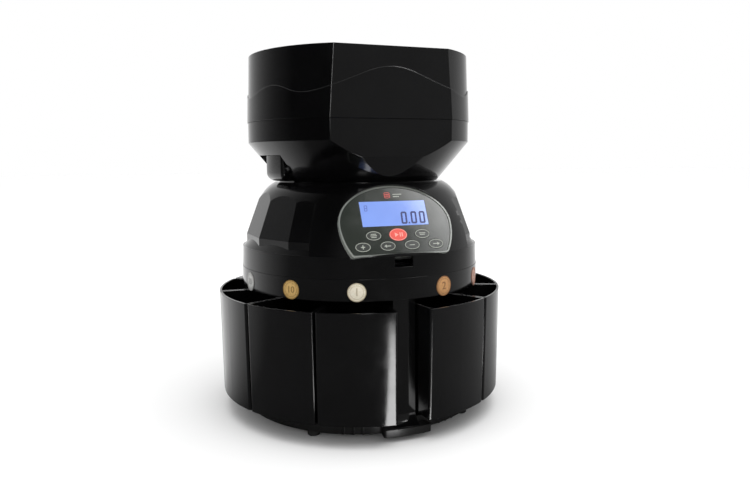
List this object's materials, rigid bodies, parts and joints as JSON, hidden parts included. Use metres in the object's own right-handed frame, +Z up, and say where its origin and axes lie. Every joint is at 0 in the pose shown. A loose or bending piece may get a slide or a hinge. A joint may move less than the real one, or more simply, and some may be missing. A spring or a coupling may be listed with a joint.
{
  "type": "coin sorting machine",
  "caption": "Desk-top coin sorting machine: round faceted hopper on a domed housing with a sloping display panel, above a ring of pull-out coin drawers.",
  "frame": {"origin": "on the table, on the machine's upright axis, midway between its sides and between its front and back", "axes": "+Z up, -Y towards the front with the display, +X to the right of a person facing the front"},
  "size_m": [0.33, 0.328, 0.4015],
  "materials": {
    "black_gloss": "gloss black moulded plastic",
    "drawer_gloss": "gloss black moulded plastic",
    "black_plastic": "satin black moulded plastic",
    "grey_plastic": "grey moulded plastic",
    "pin_metal": "plated",
    "switch_plastic": "gloss",
    "foot_rubber": "matt rubber",
    "belt_rubber": "matt rubber",
    "screw_steel": "plated",
    "rail_steel": "brushed",
    "motor_steel": "zinc plated",
    "bearing_brass": "turned",
    "circuit_board": "green solder mask",
    "panel_rim": "gloss rim",
    "panel_film": "printed film, dark grey-green",
    "lcd_blue": "backlit display, periwinkle blue",
    "key_red": "red",
    "key_dark": "dark with a pale outline",
    "label_copper": "printed coin-coloured film",
    "label_rose": "printed coin-coloured film",
    "label_silver": "printed coin-coloured film",
    "label_gold": "printed coin-coloured film",
    "label_cream": "printed coin-coloured film"
  },
  "bodies": {
    "base": {"base_tray": "black_plastic", "inner_drum": "black_plastic", "front_column": "black_gloss", "rear_housing": "black_gloss", "power_inlet": "black_plastic", "inlet_pins": "pin_metal", "switch_frame": "black_plastic", "rubber_feet": "foot_rubber", "base_screws": "screw_steel", "chute_ring": "black_gloss", "sorting_rail": "rail_steel", "sorter_bearing": "bearing_brass", "drive_belt": "belt_rubber", "drive_motor": "motor_steel", "motor_bracket": "motor_steel", "coin_sensors": "black_plastic", "power_supply": "circuit_board", "control_board": "circuit_board", "display_board": "circuit_board", "upper_housing": "black_gloss", "panel_bezel": "panel_rim", "panel_overlay": "panel_film", "lcd_window": "lcd_blue", "lcd_module": "motor_steel", "hopper_bowl": "black_gloss", "feed_chute": "black_gloss", "feed_motor": "motor_steel", "coin_label_1": "label_copper", "coin_label_2": "label_silver", "coin_label_3": "label_gold", "coin_label_4": "label_cream", "coin_label_5": "label_copper", "coin_label_6": "label_rose", "coin_label_7": "label_silver", "coin_label_8": "label_gold"},
    "hopper_lift": {"hopper_extension": "black_gloss"},
    "sorter": {"sorting_disc": "grey_plastic", "sorter_shaft": "screw_steel", "driven_pulley": "grey_plastic"},
    "motor_rotor": {"motor_pulley": "bearing_brass"},
    "feeder": {"feed_disc": "grey_plastic"},
    "rocker": {"rocker_switch": "switch_plastic"},
    "drawer_1": {"coin_drawer_1": "drawer_gloss"},
    "drawer_2": {"coin_drawer_2": "drawer_gloss"},
    "drawer_3": {"coin_drawer_3": "drawer_gloss"},
    "drawer_4": {"coin_drawer_4": "drawer_gloss"},
    "drawer_5": {"coin_drawer_5": "drawer_gloss"},
    "drawer_6": {"coin_drawer_6": "drawer_gloss"},
    "drawer_7": {"coin_drawer_7": "drawer_gloss"},
    "drawer_8": {"coin_drawer_8": "drawer_gloss"},
    "key_1": {"panel_key_1": "key_dark"},
    "key_2": {"panel_key_2": "key_red"},
    "key_3": {"panel_key_3": "key_dark"},
    "key_4": {"panel_key_4": "key_dark"},
    "key_5": {"panel_key_5": "key_dark"},
    "key_6": {"panel_key_6": "key_dark"},
    "key_7": {"panel_key_7": "key_dark"}
  },
  "joints": [
    {"name": "drawer_slide_1", "type": "slide", "parent": "base", "child": "drawer_1", "axis": [-0.9438, 0.3305, 0], "range_m": [0, 0.09]},
    {"name": "drawer_slide_2", "type": "slide", "parent": "base", "child": "drawer_2", "axis": [-0.9839, -0.1788, 0], "range_m": [0, 0.09]},
    {"name": "drawer_slide_3", "type": "slide", "parent": "base", "child": "drawer_3", "axis": [-0.7672, -0.6414, 0], "range_m": [0, 0.09]},
    {"name": "drawer_slide_4", "type": "slide", "parent": "base", "child": "drawer_4", "axis": [-0.3502, -0.9367, 0], "range_m": [0, 0.09]},
    {"name": "drawer_slide_5", "type": "slide", "parent": "base", "child": "drawer_5", "axis": [0.3502, -0.9367, 0], "range_m": [0, 0.09]},
    {"name": "drawer_slide_6", "type": "slide", "parent": "base", "child": "drawer_6", "axis": [0.7672, -0.6414, 0], "range_m": [0, 0.09]},
    {"name": "drawer_slide_7", "type": "slide", "parent": "base", "child": "drawer_7", "axis": [0.9839, -0.1788, 0], "range_m": [0, 0.09]},
    {"name": "drawer_slide_8", "type": "slide", "parent": "base", "child": "drawer_8", "axis": [0.9438, 0.3305, 0], "range_m": [0, 0.09]},
    {"name": "key_press_1", "type": "slide", "parent": "base", "child": "key_1", "axis": [0, 0.8934, -0.4493], "range_m": [0, 0.0005], "stiffness_N_per_m": 800},
    {"name": "key_press_2", "type": "slide", "parent": "base", "child": "key_2", "axis": [0, 0.8934, -0.4493], "range_m": [0, 0.0005], "stiffness_N_per_m": 800},
    {"name": "key_press_3", "type": "slide", "parent": "base", "child": "key_3", "axis": [0, 0.8934, -0.4493], "range_m": [0, 0.0005], "stiffness_N_per_m": 800},
    {"name": "key_press_4", "type": "slide", "parent": "base", "child": "key_4", "axis": [0, 0.8934, -0.4493], "range_m": [0, 0.0005], "stiffness_N_per_m": 800},
    {"name": "key_press_5", "type": "slide", "parent": "base", "child": "key_5", "axis": [0, 0.8934, -0.4493], "range_m": [0, 0.0005], "stiffness_N_per_m": 800},
    {"name": "key_press_6", "type": "slide", "parent": "base", "child": "key_6", "axis": [0, 0.8934, -0.4493], "range_m": [0, 0.0005], "stiffness_N_per_m": 800},
    {"name": "key_press_7", "type": "slide", "parent": "base", "child": "key_7", "axis": [0, 0.8934, -0.4493], "range_m": [0, 0.0005], "stiffness_N_per_m": 800},
    {"name": "hopper_extension_lift", "type": "slide", "parent": "base", "child": "hopper_lift", "axis": [0, 0, 1], "range_m": [0, 0.1]},
    {"name": "sorter_spin", "type": "hinge", "parent": "base", "child": "sorter", "pos_m": [0, 0, 0.16], "axis": [0, 0, 1], "continuous": true},
    {"name": "motor_spin", "type": "hinge", "parent": "base", "child": "motor_rotor", "pos_m": [0.05, 0, 0.126], "axis": [0, 0, 1], "continuous": true},
    {"name": "feed_spin", "type": "hinge", "parent": "base", "child": "feeder", "pos_m": [0, 0, 0.27], "axis": [0, 0, 1], "continuous": true},
    {"name": "power_rocker", "type": "hinge", "parent": "base", "child": "rocker", "pos_m": [0.02, 0.15618, 0.06], "axis": [1, 0, 0], "range_deg": [-8, 8]}
  ],
  "couplings": [
    {"joint": "motor_spin", "follows": "sorter_spin", "ratio": 3}
  ]
}
